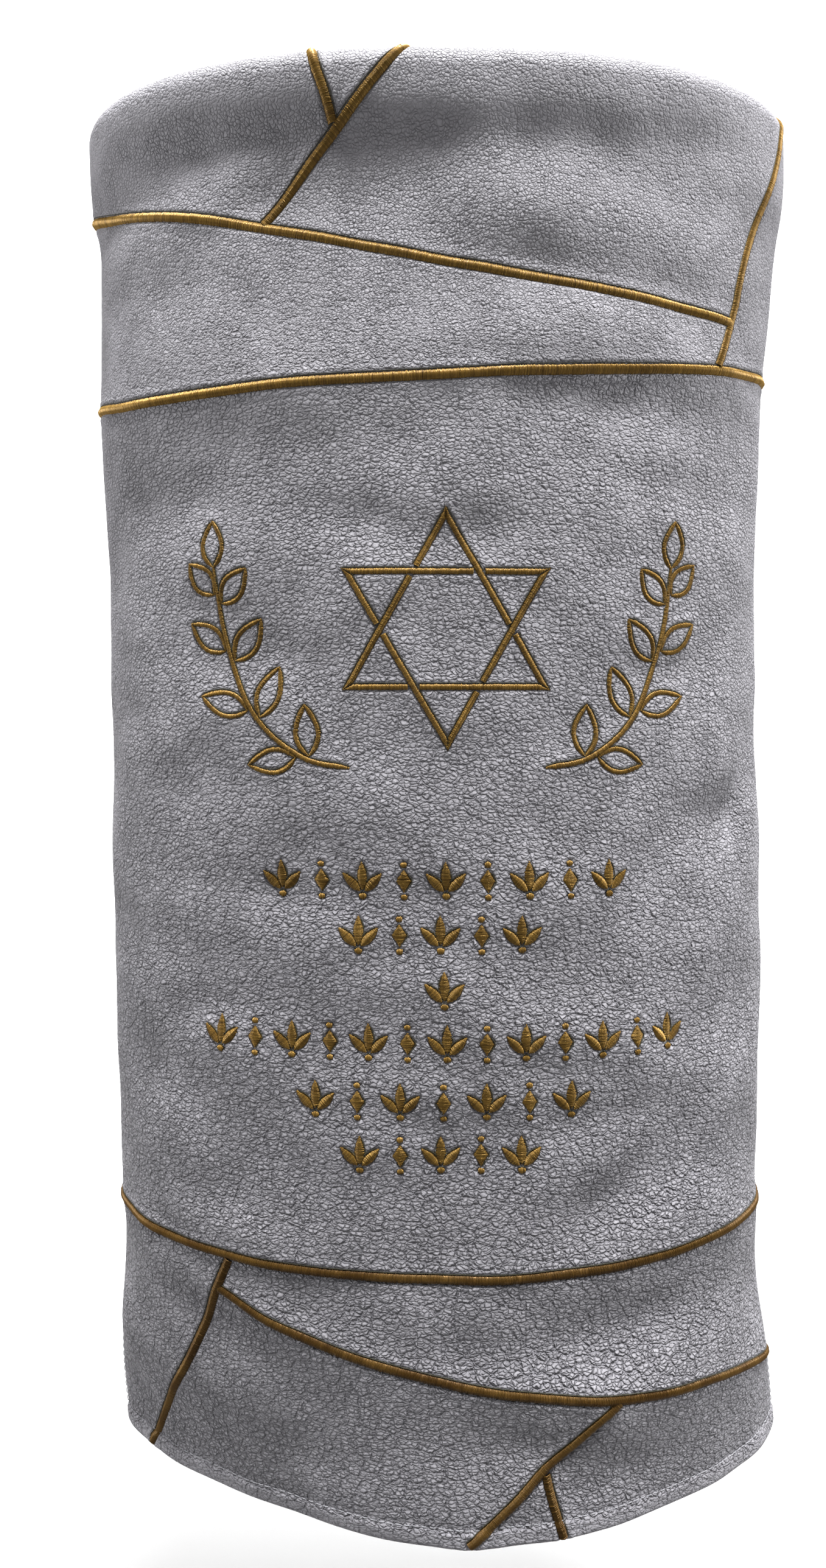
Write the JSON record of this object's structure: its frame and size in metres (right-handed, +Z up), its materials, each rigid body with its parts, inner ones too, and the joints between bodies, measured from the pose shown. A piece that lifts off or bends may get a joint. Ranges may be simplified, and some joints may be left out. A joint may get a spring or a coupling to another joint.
{
  "type": "torah mantle",
  "caption": "Leather torah mantle: an open-bottomed oval sleeve hanging from a stiff oval top with handle holes, slit at its sides, with stitched gold bands.",
  "frame": {"origin": "middle of the underside of the oval top board, where the heads of the scroll's rollers carry the cover", "axes": "+Z up, away from the hem; +X to the viewer's right along the oval's length; -Y out of the decorated front"},
  "size_m": [0.3726, 0.2237, 0.7013],
  "materials": {
    "leather": "pebbled, soft satin",
    "board": "raw",
    "gold_thread": "satin stitch"
  },
  "bodies": {
    "root": {"front_panel": "leather", "back_panel": "leather", "top_cover": "leather", "top_board": "board", "band_upper_long": "gold_thread", "band_upper_second": "gold_thread", "band_rim_riser": "gold_thread", "band_rim_short": "gold_thread", "band_rim_diagonal": "gold_thread", "band_lower_long": "gold_thread", "band_lower_second": "gold_thread", "band_hem_left": "gold_thread", "band_hem_right": "gold_thread", "band_hem_short": "gold_thread"}
  },
  "joints": []
}
